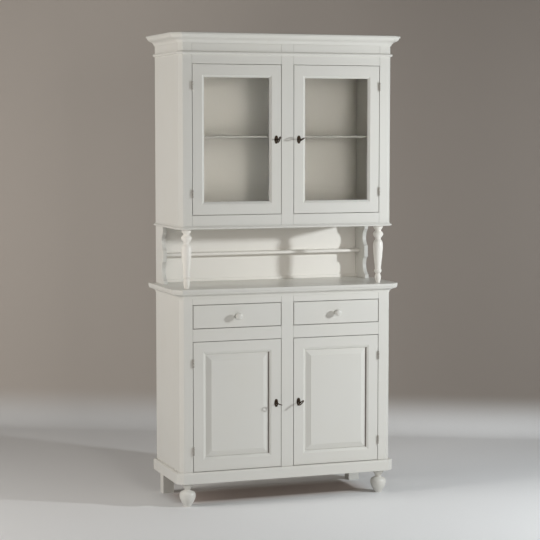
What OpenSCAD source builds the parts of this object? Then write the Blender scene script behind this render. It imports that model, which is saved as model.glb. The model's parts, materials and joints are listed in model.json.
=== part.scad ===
// Two-part display cabinet. A base with two drawers over two panelled doors carries an
// upper unit with two glazed doors. Two turned columns, two scrolled brackets and a back
// board hold the upper unit over an open niche.
// The front faces -Y and the floor is Z = 0. The origin is under the middle of the
// cabinet's bounding box, with the doors and drawers shut and the keys in the locks.

/* [Carcase] */
// Width over the side panels of both units
carcase_w = 960; // [900:1:1040]
// Depth of both units from the face frame to the wall
carcase_d = 365; // [350:1:420]
// Thickness of the side panels
side_t = 18; // [15:0.5:20]
// Thickness of the face frames and of the doors
face_t = 22; // [20:0.5:25]
// Thickness of the back panels
back_t = 8; // [5:0.5:12]
// Distance of the back panels from the rear edge of the sides
back_inset = 3; // [1:0.5:8]
// Thickness of the bottom, top and loose base boards
board_t = 18; // [15:0.5:22]
// Width of the 45 degree cant on each front corner
corner_cant = 16; // [8:0.5:20]
// Width of the outer stiles with their cant
outer_stile_w = 56; // [48:0.5:64]
// Width of the centre stiles
centre_stile_w = 55; // [48:0.5:64]
// Eased edge that shows the joints of the face frame
arris = 1.2; // [0.4:0.1:1.5]

/* [Base heights] */
// Height of the feet
foot_h = 102; // [85:1:120]
// Height of the plinth
plinth_h = 48; // [42:1:60]
// Height of the opening of the base doors
base_opening_h = 556; // [500:1:600]
// Height of the rails between doors and drawers
mid_rail_h = 54; // [48:1:64]
// Height of the drawer openings
drawer_opening_h = 102; // [92:1:120]
// Height of the rails over the drawers
top_rail_h = 27; // [20:1:36]
// Thickness of the worktop with its moulding
worktop_t = 41; // [38:0.5:46]

/* [Upper heights] */
// Height of the open niche
niche_h = 250; // [230:1:280]
// Height of the bead under the upper unit
bead_h = 13.5; // [12:0.5:18]
// Height of the rails under the glazed doors
upper_rail_h = 45.5; // [36:0.5:56]
// Height of the opening of the glazed doors
upper_opening_h = 633; // [580:1:680]
// Height of the frieze between the glazed doors and the crown
frieze_h = 85; // [75:1:95]
// Height of the crown moulding
crown_h = 43; // [42:0.5:50]

/* [Mouldings] */
// How far the plinth stands out from the carcase
plinth_projection = 15; // [10:0.5:20]
// How far the worktop stands out from the carcase
worktop_projection = 34; // [31:0.5:40]
// How far the bead under the upper unit stands out
bead_projection = 9; // [7:0.5:12]
// How far the astragal on the frieze stands out
astragal_projection = 9; // [7:0.5:10]
// Height of the astragal
astragal_h = 13; // [11:0.5:14]
// Distance of the astragal from the crown
astragal_drop = 33; // [20:1:40]
// How far the crown stands out from the carcase
crown_projection = 40; // [38:0.5:46]
// Height of the plain edge of the worktop
worktop_edge_h = 12; // [10:0.5:14]

/* [Doors] */
// Gap round every door and drawer
door_gap = 2; // [1.5:0.1:2.5]
// Width of the flat stiles of the base doors
base_door_stile_w = 44; // [40:0.5:56]
// Height of the flat bottom rail of the base doors
base_door_bottom_h = 49; // [40:0.5:60]
// Height of the flat top rail of the base doors
base_door_top_h = 43; // [40:0.5:60]
// Width of the moulding inside the frame of the base doors
base_door_moulding_w = 11; // [9:0.5:13]
// Width of the bevel of the raised panels
panel_bevel_w = 24; // [18:0.5:30]
// Depth of the bevel of the raised panels
panel_bevel_d = 9; // [6:0.5:10]
// Width of the flat stiles of the glazed doors
glazed_stile_w = 42; // [40:0.5:50]
// Height of the flat rails of the glazed doors
glazed_rail_h = 44; // [38:0.5:54]
// Width of the moulding round the glass
glazed_moulding_w = 10; // [8:0.5:12]
// Thickness of the glass
glass_t = 4; // [3:0.5:5]
// Depth of the rebates and grooves that hold the glass and the panels
rebate = 7; // [5:0.5:8]
// Side of the square glazing beads
glazing_bead = 7; // [5:0.5:8]

/* [Hinges] */
// Height of each butt hinge
hinge_h = 36; // [30:1:50]
// Diameter of the hinge knuckles
knuckle_d = 7; // [6:0.1:8]
// Diameter of the hinge pins
hinge_pin_d = 3; // [2:0.1:4]
// Distance of the hinge pins in front of the face frame
hinge_proud = 4.5; // [4:0.1:6]
// Thickness of the hinge leaves
leaf_t = 1.2; // [0.8:0.1:1.5]
// Width of the hinge leaves let into the edges
leaf_w = 17; // [12:0.5:19]
// Distance of the hinge middles from the ends of the doors
hinge_inset = 89; // [70:1:120]

/* [Locks and keys] */
// Distance of the keys from the edges of the doors
lock_backset = 21.5; // [20:0.5:24]
// Width of the lock cases
lock_w = 35; // [32:0.5:38]
// Height of the lock cases
lock_h = 54; // [44:1:70]
// Thickness of the lock cases
lock_t = 10; // [9:0.5:11]
// Height of the lock bolts
bolt_h = 12; // [8:0.5:16]
// Thickness of the lock bolts
bolt_t = 5; // [4:0.5:5.5]
// Travel of the lock bolts
bolt_throw = 8; // [6:0.5:10]
// Width of the escutcheons
escutcheon_w = 17; // [14:0.5:20]
// Height of the escutcheons
escutcheon_h = 34; // [28:0.5:40]
// Thickness of the escutcheons
escutcheon_t = 1.6; // [1:0.1:2.5]
// Diameter of the key shanks
key_shank_d = 5; // [4:0.1:5.6]
// Length of the key shanks in front of the door
key_shank_l = 25; // [20:0.5:30]
// Width of the key bows
key_bow_w = 30; // [24:0.5:34]
// Length of the key bows along the shank
key_bow_l = 20; // [16:0.5:22]
// Thickness of the key bows
key_bow_t = 3.6; // [2.5:0.1:4.5]
// Width of the ring of the key bows
key_ring_w = 3.6; // [2.5:0.1:4.5]
// Turn of the upper left key at rest
key_turn_upper_left = 65; // [-80:1:80]
// Turn of the upper right key at rest
key_turn_upper_right = 31; // [-80:1:80]
// Turn of the lower left key at rest
key_turn_lower_left = -20; // [-80:1:80]
// Turn of the lower right key at rest
key_turn_lower_right = 43; // [-80:1:80]

/* [Drawers] */
// Thickness of the drawer fronts
drawer_front_t = 20; // [18:0.5:22]
// Thickness of the drawer sides and backs
drawer_side_t = 12; // [9:0.5:14]
// Thickness of the drawer bottoms
drawer_bottom_t = 5; // [3:0.5:6]
// Gap between the drawer boxes and their guides
drawer_gap = 3; // [2:0.5:5]
// Gap between the drawer boxes and their runners
drawer_lift = 0.5; // [0.3:0.1:1]
// Free space over the drawer sides
drawer_headroom = 16; // [10:1:30]
// Thickness of the runners
runner_t = 18; // [12:0.5:20]
// Width of each runner beside a drawer's edge
runner_w = 12; // [8:0.5:20]
// Height of the drawer guides over the runners
guide_h = 20; // [12:1:30]
// Depth of the rear rail of the runners
runner_rail_d = 18; // [12:0.5:24]
// Diameter of the knobs
knob_d = 30; // [24:0.5:36]
// Projection of the knobs
knob_l = 36; // [30:0.5:42]

/* [Feet and columns] */
// Largest diameter of the front feet
foot_d = 70; // [56:1:80]
// Distance of the front feet from the sides of the carcase
foot_inset_x = 40; // [36:0.5:50]
// Distance of the front feet from the face frame
foot_inset_y = 32.5; // [28:0.5:40]
// Side of the square rear feet
rear_foot_w = 49; // [40:1:60]
// Distance of the rear feet from the sides of the carcase
rear_foot_inset = 15; // [5:1:19]
// Diameter of the dowels of the feet
foot_dowel_d = 14; // [10:0.5:18]
// Length of the dowels of the feet
foot_dowel_l = 24; // [18:1:28]
// Side of the blocks that take the dowels
block_w = 60; // [54:1:70]
// Largest diameter of the columns
column_d = 45; // [38:0.5:52]
// Distance of the columns from the sides of the carcase
column_inset_x = 42; // [38:0.5:50]
// Distance of the columns from the face frame
column_inset_y = 42.5; // [38:0.5:50]
// Diameter of the dowels of the columns
column_dowel_d = 12; // [8:0.5:14]
// Length of the dowels of the columns
column_dowel_l = 11; // [8:0.5:14]
// Clearance of dowels and pins in their bores
dowel_fit = 0.04; // [0.02:0.01:0.08]

/* [Niche and shelves] */
// Depth of the brackets at their foot and head
bracket_d = 120; // [110:1:140]
// Depth of the lower scoop of the brackets
bracket_scoop = 29; // [20:1:32]
// Distance of the upper part of the brackets behind the front of their foot
bracket_setback = 10; // [6:0.5:12]
// Thickness of the back board of the niche
niche_back_t = 6; // [4:0.5:8]
// Height of the strip at the foot of the back board
strip_h = 12; // [8:0.5:20]
// Depth of the strip at the foot of the back board
strip_d = 8; // [5:0.5:14]
// Height of the niche shelf over the worktop
niche_shelf_z = 115; // [90:1:150]
// Thickness of the niche shelf
niche_shelf_t = 15; // [12:0.5:18]
// Depth of the niche shelf
niche_shelf_d = 52; // [40:1:80]
// Height of the display shelf over the bottom of the upper doors
display_shelf_z = 323; // [250:1:400]
// Thickness of the display shelf
display_shelf_t = 9; // [8:0.5:14]
// Distance of the display shelf from the doors
display_shelf_back = 16; // [8:1:60]
// Height of the base shelf over the bottom board
base_shelf_z = 262; // [200:1:330]
// Distance of the base shelf from the doors
base_shelf_back = 20; // [8:1:60]
// Gap at the ends of the loose shelves
shelf_gap = 1; // [0.5:0.1:2]
// Diameter of the shelf pins
shelf_pin_d = 5; // [4:0.5:7]
// Length of the shelf pins inside the cupboard
shelf_pin_l = 9; // [7:0.5:12]
// Depth of the shelf pin bores
shelf_bore = 9; // [7:0.5:12]
// Distance of the shelf pins from the edges of the shelves
shelf_pin_inset = 40; // [30:1:70]

/* [Hidden] */
$fn = 48;
// Overshoot of a cutting solid past the face that it cuts
over = 1;
// Length that is longer than the cabinet, for profile prisms and planes
long = 2400;

// Heights, from the floor up
z_plinth = foot_h;
z_base = z_plinth + plinth_h;
z_mid_rail = z_base + base_opening_h;
z_drawer = z_mid_rail + mid_rail_h;
z_top_rail = z_drawer + drawer_opening_h;
z_worktop = z_top_rail + top_rail_h;
z_niche = z_worktop + worktop_t;
z_bead = z_niche + niche_h;
z_upper = z_bead + bead_h;
z_glazed = z_upper + upper_rail_h;
z_frieze = z_glazed + upper_opening_h;
z_crown = z_frieze + frieze_h;
z_top = z_crown + crown_h;
z_astragal = z_crown - astragal_drop;
z_floor_board = z_base - board_t;

// Widths, from the middle outwards
half_w = carcase_w / 2;
inner_w = half_w - side_t;
open_x0 = centre_stile_w / 2;
open_x1 = half_w - outer_stile_w;
door_x0 = open_x0 + door_gap;
door_x1 = open_x1 - door_gap;

// Depths. The keys can stand out further than the crown.
key_reach = key_shank_l + key_bow_l;
front_reach = max(crown_projection, key_reach);
y_front = -(carcase_d + front_reach) / 2 + front_reach;
y_rear = y_front + carcase_d;
y_in = y_front + face_t;
y_back = y_rear - back_inset - back_t;

// Doors
base_door_h = base_opening_h - 2 * door_gap;
base_door_z = z_base + door_gap;
glazed_door_h = upper_opening_h - 2 * door_gap;
glazed_door_z = z_glazed + door_gap;
hinge_x = open_x1 - door_gap / 2;
hinge_y = y_front - hinge_proud;
base_hinges = [base_door_z + hinge_inset, base_door_z + base_door_h - hinge_inset];
glazed_hinges = [glazed_door_z + hinge_inset, glazed_door_z + glazed_door_h - hinge_inset];
knuckle_gap = 0.3;
knuckle_h = (hinge_h - 2 * knuckle_gap) / 3;
pin_fit = 0.06;
leaf_start = knuckle_d / 2 + 0.4;

// Locks
key_x = door_x0 + lock_backset;
base_key_z = base_door_z + base_door_h / 2;
glazed_key_z = glazed_door_z + glazed_door_h / 2;
lock_y = y_in - lock_t;
lock_wall = 1.5;
lock_fit = 0.5;
bit_r = 7;
bit_t = 2;
bit_clear = 0.6;
bolt_y = lock_y + lock_wall + lock_fit;
bolt_l = lock_backset - bit_r - bit_clear - 0.5;
mortise_d = bolt_throw - door_gap + 4;
shank_fit = 0.1;

// Drawers
drawer_front_z = z_drawer + door_gap;
drawer_front_h = drawer_opening_h - 2 * door_gap;
drawer_x0 = open_x0 + drawer_gap;
drawer_x1 = open_x1 - drawer_gap;
runner_rail_y = y_back - runner_rail_d;
drawer_y1 = runner_rail_y - 1;
drawer_box_z = z_drawer + drawer_lift;
drawer_box_h = drawer_opening_h - drawer_lift - drawer_headroom;
drawer_groove = 5;
drawer_bottom_rise = 8;
knob_x = (door_x0 + door_x1) / 2;
knob_z = drawer_front_z + drawer_front_h / 2;
knob_tenon_d = 10;
knob_tenon_l = 15;

// Feet, columns and brackets
foot_x = half_w - foot_inset_x;
foot_y = y_front + foot_inset_y;
rear_foot_x = half_w - rear_foot_inset - rear_foot_w / 2;
rear_foot_y = y_rear - rear_foot_w / 2;
column_x = half_w - column_inset_x;
column_y = y_front + column_inset_y;
rail_board_d = 18;

// Shelves
base_shelf_top = z_base + base_shelf_z;
base_shelf_bottom = base_shelf_top - board_t;
display_shelf_bottom = z_glazed + display_shelf_z;
upper_floor = z_bead + board_t;

ivory = "#f1ede0";
board_colour = "#ddd6c4";
drawer_wood = "#d8c9a8";
bronze = "#4a3b2a";
steel = "#b9b9b4";
nickel = "#d2d0c8";
clear_glass = [0.85, 0.92, 0.9, 0.25];

// Places children on the right side (s = 1) or mirrored on the left side (s = -1)
module on_side(s) {
  if (s < 0) mirror([1, 0, 0]) children();
  else children();
}

module on_both_sides() {
  for (s = [-1, 1]) on_side(s) children();
}

// Box between two corners
module block(a, b) {
  translate(a) cube([b[0] - a[0], b[1] - a[1], b[2] - a[2]]);
}

// Extrudes a profile drawn in X and Z along Y, from y = a to y = b
module along_y(a, b) {
  translate([0, b, 0]) rotate([90, 0, 0]) linear_extrude(b - a) children();
}

// Extrudes a profile drawn in Y (as its X) and Z along X, from x = a to x = b
module along_x(a, b) {
  translate([a, 0, 0]) rotate([90, 0, 90]) linear_extrude(b - a) children();
}

// Solid with the plan of the carcase, whose edge follows the profile given as a child.
// The profile is drawn with x = 0 on the face of the carcase, and runs at least
// 50 mm behind it. The rear stays flat at the wall.
module moulded_slab(z0, z1) {
  depth = 40;
  core = half_w - depth;
  cant_d = (half_w - corner_cant - y_front) / sqrt(2);
  intersection() {
    along_y(-long / 2, y_rear) {
      translate([half_w, 0]) children();
      mirror([1, 0]) translate([half_w, 0]) children();
      translate([-core, z0]) square([2 * core, z1 - z0]);
    }
    along_x(-long / 2, long / 2) {
      translate([y_front, 0]) mirror([1, 0]) children();
      translate([y_front + depth, z0]) square([long, z1 - z0]);
    }
    cant_prism(-1, cant_d, depth, z0, z1) children();
    cant_prism(1, cant_d, depth, z0, z1) children();
  }
}

// Prism under 45 degrees that follows the profile on one canted corner
module cant_prism(s, cant_d, depth, z0, z1) {
  rotate([0, 0, s * -45 + (s < 0 ? 180 : 0)])
    along_y(-long / 2, long / 2) {
      translate([cant_d, 0]) children();
      translate([cant_d - depth - long, z0]) square([long, z1 - z0]);
    }
}

// Space inside the carcase, taken out of a moulded slab
module inside(z0, z1) {
  block([-inner_w, y_in, z0], [inner_w, y_rear + over, z1]);
}

// Part of a profile behind the face, for the moulded slabs
module behind(z0, z1) {
  translate([-50, z0]) square([50, z1 - z0]);
}

// Rounded top edge over a slightly eased bottom edge
module plinth_section() {
  round_r = 7;
  foot_r = 2;
  p = plinth_projection;
  behind(z_plinth, z_base);
  translate([-1, z_plinth + foot_r]) square([p + 1, plinth_h - foot_r - round_r]);
  translate([-1, z_plinth]) square([p + 1 - foot_r, foot_r + 1]);
  translate([p - foot_r, z_plinth + foot_r]) circle(foot_r);
  translate([-1, z_base - round_r - 1]) square([p + 1 - round_r, round_r + 1]);
  translate([p - round_r, z_base - round_r]) circle(round_r);
}

module worktop_section() {
  edge_r = 2.5;
  quirk = 3;
  quirk_h = 1.5;
  ovolo_r = 10;
  cove_r = 16.5;
  fillet_h = 4;
  p = worktop_projection;
  z_edge = z_niche - worktop_edge_h;
  z_ovolo = z_edge - quirk_h;
  z_step = z_ovolo - ovolo_r;
  x_ovolo = p - 1 - ovolo_r;
  z_cove = z_step - 6;
  behind(z_worktop, z_niche);
  difference() {
    translate([-1, z_edge]) square([p + 1, worktop_edge_h]);
    difference() {
      translate([p - edge_r, z_niche - edge_r]) square(edge_r + over);
      translate([p - edge_r, z_niche - edge_r]) circle(edge_r);
    }
  }
  translate([-1, z_ovolo - 0.5]) square([p - quirk + 1, quirk_h + 1]);
  intersection() {
    translate([x_ovolo, z_ovolo]) circle(ovolo_r);
    translate([x_ovolo - ovolo_r, z_step]) square([2 * ovolo_r, ovolo_r]);
  }
  translate([-1, z_step]) square([x_ovolo + 1, ovolo_r]);
  difference() {
    translate([-1, z_cove]) square([x_ovolo - 1, z_step - z_cove + 0.5]);
    translate([x_ovolo - 2, z_step - 1 - cove_r]) circle(cove_r);
  }
  translate([-1, z_cove - fillet_h]) square([7, fillet_h + 1]);
  translate([-1, z_worktop]) square([3, z_cove - z_worktop]);
}

module bead_section() {
  nose_r = 4.5;
  cavetto_r = bead_h - nose_r - 2;
  p = bead_projection;
  behind(z_bead, z_upper);
  translate([-1, z_bead]) square([p + 1 - nose_r, nose_r + 1]);
  translate([p - nose_r, z_bead + nose_r]) circle(nose_r);
  translate([-1, z_bead + nose_r]) square([p + 1, 2]);
  difference() {
    translate([-1, z_bead + nose_r + 1]) square([p + 1, bead_h - nose_r - 1]);
    translate([p, z_upper + 1]) circle(cavetto_r + 1);
  }
}

module astragal_section() {
  r = astragal_h / 2;
  translate([-50, z_astragal - astragal_h]) square([50 + astragal_projection - r, astragal_h]);
  translate([astragal_projection - r, z_astragal - r]) circle(r);
}

// Crown: a rounded top edge over a flat ogee, convex above and hollow below
module crown_section() {
  edge_h = 9;
  edge_r = 4;
  foot_p = 4;
  p = crown_projection;
  z_line = z_top - edge_h;
  r = min(p - edge_r - foot_p, z_line - z_crown - 2) / 2;
  x_mid = p - edge_r - r;
  x_foot = x_mid - r;
  z_mid = z_line - r;
  z_foot = z_mid - r;
  arc_r = r * sqrt(2);
  lean = r * (sqrt(3) - 1) / 2;
  behind(z_crown, z_top);
  difference() {
    translate([-1, z_line]) square([p + 1, edge_h]);
    difference() {
      translate([p - edge_r, z_top - edge_r]) square(edge_r + over);
      translate([p - edge_r, z_top - edge_r]) circle(edge_r);
    }
  }
  intersection() {
    translate([x_mid - lean, z_line + lean]) circle(arc_r);
    translate([x_mid - 1, z_mid]) square([r + 1, r + 1]);
  }
  translate([-1, z_mid]) square([x_mid + 1, r + 1]);
  difference() {
    translate([-1, z_foot]) square([x_mid + 1, r + 0.5]);
    translate([x_mid + lean, z_foot - lean]) circle(arc_r);
  }
  translate([-1, z_crown]) square([x_foot + 1, z_foot - z_crown + 0.5]);
}

// Smooth curve through knots given as [radius, height]
function bend(a, b, c, d, t) =
  0.5 * (2 * b + (c - a) * t + (2 * a - 5 * b + 4 * c - d) * t * t
  + (3 * b - a - 3 * c + d) * t * t * t);

function smooth(k, n = 5) = let (m = len(k) - 1) concat(
  [for (i = [0:m - 1], j = [0:n - 1])
    bend(k[max(i - 1, 0)], k[i], k[i + 1], k[min(i + 2, m)], j / n)],
  [k[m]]);

// Turned solid between heights 0 and h, from a list of smooth curves. The knots are
// parts of the largest radius r and of the height h, each out of 100.
module turned(curves, r, h) {
  points = [for (c = curves, q = smooth(c)) [q[0] * r / 100, q[1] * h / 100]];
  rotate_extrude() polygon(concat([[0, 0]], points, [[0, h]]));
}

module front_foot() {
  curves = [
    [[48, 0], [50, 4], [54, 8]],
    [[57, 9], [77, 21], [93, 34], [99, 45], [96, 54], [84, 61], [67, 65]],
    [[60, 66], [42, 69], [37, 72], [43, 77], [52, 82], [60, 86]],
    [[66, 87], [68, 90], [66, 93]],
    [[61, 94], [61, 100]]
  ];
  turned(curves, foot_d / 2, foot_h);
  translate([0, 0, foot_h - 1]) cylinder(d = foot_dowel_d, h = foot_dowel_l + 1);
}

module front_feet() {
  color(ivory) on_both_sides() translate([foot_x, foot_y, 0]) front_foot();
}

module rear_feet() {
  color(ivory) on_both_sides() translate([rear_foot_x, rear_foot_y, 0]) {
    translate([-rear_foot_w / 2, -rear_foot_w / 2, 0]) cube([rear_foot_w, rear_foot_w, foot_h]);
    translate([-8, -8, foot_h - 1]) cylinder(d = foot_dowel_d, h = foot_dowel_l + 1);
  }
}

// Moulded boards on three sides, a rear rail, and a block in each corner for a foot
module plinth() {
  color(ivory) difference() {
    union() {
      difference() {
        moulded_slab(z_plinth, z_base) plinth_section();
        inside(z_plinth - over, z_base + over);
      }
      block([-inner_w, y_rear - rail_board_d, z_plinth], [inner_w, y_rear, z_floor_board]);
      on_both_sides() {
        block([inner_w - block_w, y_in, z_plinth], [inner_w, y_in + block_w, z_floor_board]);
        block([inner_w - block_w, y_rear - rail_board_d - block_w, z_plinth],
              [inner_w, y_rear - rail_board_d, z_floor_board]);
      }
    }
    on_both_sides() {
      translate([foot_x, foot_y, z_plinth - over])
        cylinder(d = foot_dowel_d + dowel_fit, h = foot_dowel_l + 1 + over);
      translate([rear_foot_x - 8, rear_foot_y - 8, z_plinth - over])
        cylinder(d = foot_dowel_d + dowel_fit, h = foot_dowel_l + 1 + over);
    }
  }
}

module base_bottom_board() {
  color(board_colour)
    block([-inner_w, y_in, z_floor_board], [inner_w, y_back, z_base]);
}

// Side panel with bores for the pins of one shelf
module side_panel(z0, z1, shelf_bottom, shelf_front) {
  difference() {
    block([inner_w, y_in, z0], [half_w, y_rear, z1]);
    for (y = pin_rows(shelf_front))
      translate([inner_w - over, y, shelf_bottom - shelf_pin_d / 2]) rotate([0, 90, 0])
        cylinder(d = shelf_pin_d + dowel_fit, h = shelf_bore + over);
  }
}

function pin_rows(shelf_front) =
  [shelf_front + shelf_pin_inset, y_back - shelf_gap - shelf_pin_inset];

module base_side_panels() {
  color(ivory) on_both_sides()
    side_panel(z_base, z_worktop, base_shelf_bottom, y_in + base_shelf_back);
}

module base_back_panel() {
  color(board_colour)
    block([-inner_w, y_back, z_floor_board], [inner_w, y_back + back_t, z_worktop]);
}

// Outer stile with its cant, an eased inner edge and hinge recesses
module outer_stile(z0, z1, hinges) {
  a = arris;
  difference() {
    translate([0, 0, z0]) linear_extrude(z1 - z0) polygon([
      [open_x1 + a, y_front], [half_w - corner_cant, y_front],
      [half_w, y_front + corner_cant], [half_w, y_in],
      [open_x1, y_in], [open_x1, y_front + a]]);
    for (z = hinges)
      block([open_x1 - over, y_front - over, z - hinge_h / 2],
            [open_x1 + leaf_t, hinge_y + leaf_w, z + hinge_h / 2]);
  }
}

// Centre stile with eased edges and a mortise for each lock bolt
module centre_stile(z0, z1, lock_z) {
  a = arris;
  x = open_x0;
  difference() {
    translate([0, 0, z0]) linear_extrude(z1 - z0) polygon([
      [a - x, y_front], [x - a, y_front], [x, y_front + a],
      [x, y_in], [-x, y_in], [-x, y_front + a]]);
    on_both_sides()
      block([x - mortise_d, bolt_y - lock_fit, lock_z - bolt_h / 2 - 1],
            [x + over, y_in + over, lock_z + bolt_h / 2 + 1]);
  }
}

// Rail between two stiles with eased edges
module rail(z0, z1) {
  a = arris;
  along_x(open_x0, open_x1) polygon([
    [y_front, z0 + a], [y_front + a, z0], [y_in, z0],
    [y_in, z1], [y_front + a, z1], [y_front, z1 - a]]);
}

module base_stiles() {
  color(ivory) {
    on_both_sides() outer_stile(z_base, z_worktop, base_hinges);
    centre_stile(z_base, z_worktop, base_key_z);
  }
}

module base_rails() {
  color(ivory) on_both_sides() {
    rail(z_mid_rail, z_drawer);
    rail(z_top_rail, z_worktop);
  }
}

// Loose shelf with a rounded front edge
module loose_shelf(z0, t, front) {
  x = inner_w - shelf_gap;
  y1 = y_back - shelf_gap;
  r = t / 2;
  along_x(-x, x) {
    translate([front + r, z0]) square([y1 - front - r, t]);
    translate([front + r, z0 + r]) circle(r);
  }
}

module base_shelf() {
  color(board_colour) loose_shelf(base_shelf_bottom, board_t, y_in + base_shelf_back);
}

module display_shelf() {
  color(ivory) loose_shelf(display_shelf_bottom, display_shelf_t, y_in + display_shelf_back);
}

module shelf_pins() {
  color(steel) on_both_sides()
    for (shelf = [[base_shelf_bottom, y_in + base_shelf_back],
                  [display_shelf_bottom, y_in + display_shelf_back]])
      for (y = pin_rows(shelf[1]))
        translate([inner_w - shelf_pin_l, y, shelf[0] - shelf_pin_d / 2]) rotate([0, 90, 0])
          cylinder(d = shelf_pin_d, h = shelf_pin_l + shelf_bore);
}

// Runners at both edges of each drawer, with guides, on a rear rail
module drawer_runners() {
  z0 = z_drawer - runner_t;
  color(drawer_wood) {
    block([-open_x0 - runner_w, y_in, z0], [open_x0 + runner_w, runner_rail_y, z_drawer]);
    block([-open_x0, y_in, z0], [open_x0, runner_rail_y, z_drawer + guide_h]);
    on_both_sides() {
      block([open_x1 - runner_w, y_in, z0], [inner_w, runner_rail_y, z_drawer]);
      block([open_x1, y_in, z0], [inner_w, runner_rail_y, z_drawer + guide_h]);
    }
    block([-inner_w, runner_rail_y, z0], [inner_w, y_back, z_drawer]);
  }
}

// Worktop, hollow underneath, with bores for the columns
module worktop() {
  cover_t = 20;
  rim = 30;
  color(ivory) difference() {
    moulded_slab(z_worktop, z_niche) worktop_section();
    block([-inner_w + rim, y_in, z_worktop - over],
          [inner_w - rim, y_back, z_niche - cover_t]);
    on_both_sides() translate([column_x, column_y, z_niche - column_dowel_l - 1])
      cylinder(d = column_dowel_d + dowel_fit, h = column_dowel_l + 1 + over);
  }
}

// Side bracket. Its front stands furthest forward at the foot, then come a scoop, a square
// step, a straight part, a second scoop and a straight head.
module bracket_outline() {
  h = niche_h;
  front = y_rear - bracket_d;
  z_step = z_niche + h * 0.38;
  lower_c = h * 0.25;
  lower_half = h * 0.182;
  upper_c = h * 0.736;
  upper_half = h * 0.152;
  upper_scoop = bracket_scoop - 8;
  lower_r = (pow(bracket_scoop, 2) + pow(lower_half, 2)) / (2 * bracket_scoop);
  upper_r = (pow(upper_scoop, 2) + pow(upper_half, 2)) / (2 * upper_scoop);
  difference() {
    translate([front, z_niche]) square([bracket_d, h]);
    translate([front - over, z_step]) square([bracket_setback + over, h]);
    intersection() {
      translate([front + bracket_scoop - lower_r, z_niche + lower_c]) circle(lower_r);
      translate([front - over, z_niche]) square([bracket_d, z_step - z_niche]);
    }
    translate([front + bracket_setback + upper_scoop - upper_r, z_niche + upper_c])
      circle(upper_r);
  }
}

module niche_brackets() {
  color(ivory) on_both_sides() along_x(inner_w, half_w) bracket_outline();
}

module niche_back_board() {
  color(ivory) {
    block([-inner_w, y_rear - niche_back_t, z_niche], [inner_w, y_rear, z_bead]);
    block([-inner_w, y_rear - niche_back_t - strip_d, z_niche],
          [inner_w, y_rear - niche_back_t + 0.5, z_niche + strip_h]);
  }
}

module niche_shelf() {
  y1 = y_rear - niche_back_t;
  y0 = y1 - niche_shelf_d;
  r = niche_shelf_t / 2;
  z0 = z_niche + niche_shelf_z;
  color(ivory) along_x(-inner_w, inner_w) {
    translate([y0 + r, z0]) square([niche_shelf_d - r, niche_shelf_t]);
    translate([y0 + r, z0 + r]) circle(r);
  }
}

module column() {
  curves = [
    [[40, 0], [51, 3.8], [62, 10], [50, 14], [44, 15.6]],
    [[56, 17], [70, 19.2], [72, 21], [66, 22.8]],
    [[61, 23.4], [61, 28], [71, 36], [83, 47], [93, 57], [96, 65], [86, 71], [54, 76]],
    [[57, 78], [82, 81.2], [100, 85], [84, 88.4], [54, 91]],
    [[58, 92.2], [84, 95.6], [92, 97.4], [92, 100]]
  ];
  turned(curves, column_d / 2, niche_h);
  translate([0, 0, -column_dowel_l])
    cylinder(d = column_dowel_d, h = niche_h + 2 * column_dowel_l);
}

module columns() {
  color(ivory) on_both_sides() translate([column_x, column_y, z_niche]) column();
}

module upper_bottom_board() {
  color(ivory) difference() {
    block([-inner_w, y_in, z_bead], [inner_w, y_back, upper_floor]);
    on_both_sides() translate([column_x, column_y, z_bead - over])
      cylinder(d = column_dowel_d + dowel_fit, h = column_dowel_l + 1 + over);
  }
}

// Bead under the upper unit and astragal on its frieze
module bead_mouldings() {
  color(ivory) {
    difference() {
      moulded_slab(z_bead, z_upper) bead_section();
      inside(z_bead - over, z_upper + over);
    }
    difference() {
      moulded_slab(z_astragal - astragal_h, z_astragal) astragal_section();
      carcase_plan(z_astragal - astragal_h - over, z_astragal + over);
    }
  }
}

// Whole plan of the carcase with its canted corners
module carcase_plan(z0, z1) {
  translate([0, 0, z0]) linear_extrude(z1 - z0) polygon([
    [-half_w + corner_cant, y_front], [half_w - corner_cant, y_front],
    [half_w, y_front + corner_cant], [half_w, y_rear + over],
    [-half_w, y_rear + over], [-half_w, y_front + corner_cant]]);
}

module upper_side_panels() {
  color(ivory) on_both_sides()
    side_panel(z_upper, z_crown, display_shelf_bottom, y_in + display_shelf_back);
}

module upper_back_panel() {
  color(board_colour)
    block([-inner_w, y_back, z_bead], [inner_w, y_back + back_t, z_crown]);
}

module upper_stiles() {
  color(ivory) {
    on_both_sides() outer_stile(z_upper, z_crown, glazed_hinges);
    centre_stile(z_upper, z_crown, glazed_key_z);
  }
}

module upper_rails() {
  color(ivory) on_both_sides() {
    rail(z_upper, z_glazed);
    rail(z_frieze, z_crown);
  }
}

module upper_top_board() {
  color(board_colour)
    block([-inner_w, y_in, z_crown - board_t], [inner_w, y_back, z_crown]);
}

// Crown moulding with its top, hollow underneath
module crown() {
  cover_t = 12;
  rim = 30;
  color(ivory) difference() {
    moulded_slab(z_crown, z_top) crown_section();
    block([-inner_w + rim, y_in + rim, z_crown - over],
          [inner_w - rim, y_rear - rim, z_top - cover_t]);
  }
}

// Knuckle, or part of the pin, at a height of the hinge counted in knuckles
module knuckle(i, d) {
  translate([hinge_x, hinge_y, i * (knuckle_h + knuckle_gap)]) cylinder(d = d, h = knuckle_h);
}

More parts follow.
